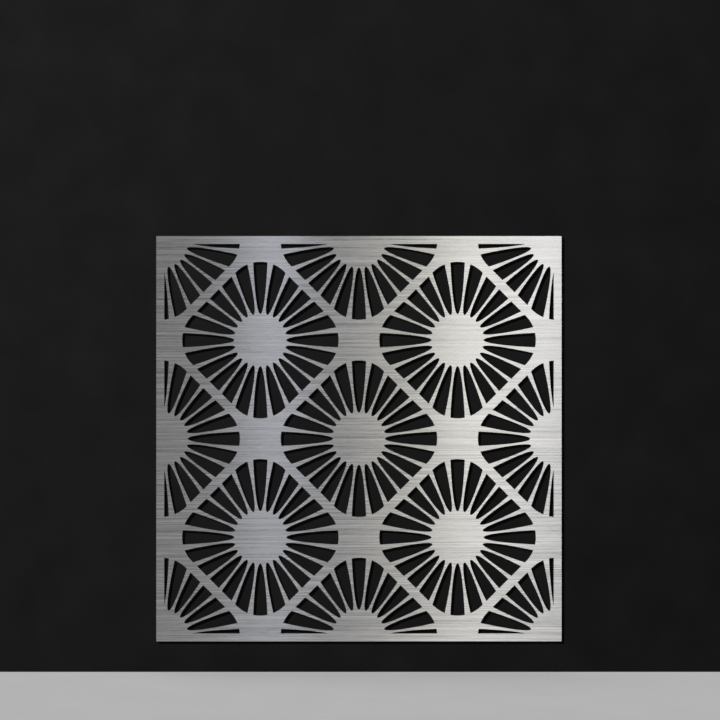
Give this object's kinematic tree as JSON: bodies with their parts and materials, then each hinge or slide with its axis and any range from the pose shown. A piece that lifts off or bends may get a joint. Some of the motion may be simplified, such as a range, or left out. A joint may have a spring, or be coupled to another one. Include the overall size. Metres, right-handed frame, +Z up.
{
  "type": "laser cut metal screen",
  "caption": "Square brushed stainless steel screen, laser cut with a lattice of sunbursts, held off the wall by hidden stud fixings.",
  "frame": {"origin": "on the axis of the middle stud, in the plane where the fixings meet the wall", "axes": "+X across the screen to the right as seen from the front, +Z up, +Y from the screen's front towards the wall"},
  "size_m": [0.9, 0.033, 0.9],
  "materials": {
    "brushed_stainless": "brushed along the width",
    "stud_steel": "rolled thread",
    "cushion_rubber": "matte",
    "sleeve_steel": "turned",
    "white_nylon": "moulded"
  },
  "bodies": {
    "root": {"screen_panel": "brushed_stainless", "weld_studs": "stud_steel", "cushion_washers": "cushion_rubber", "spacer_sleeves": "sleeve_steel", "retaining_washers": "white_nylon"}
  },
  "joints": []
}
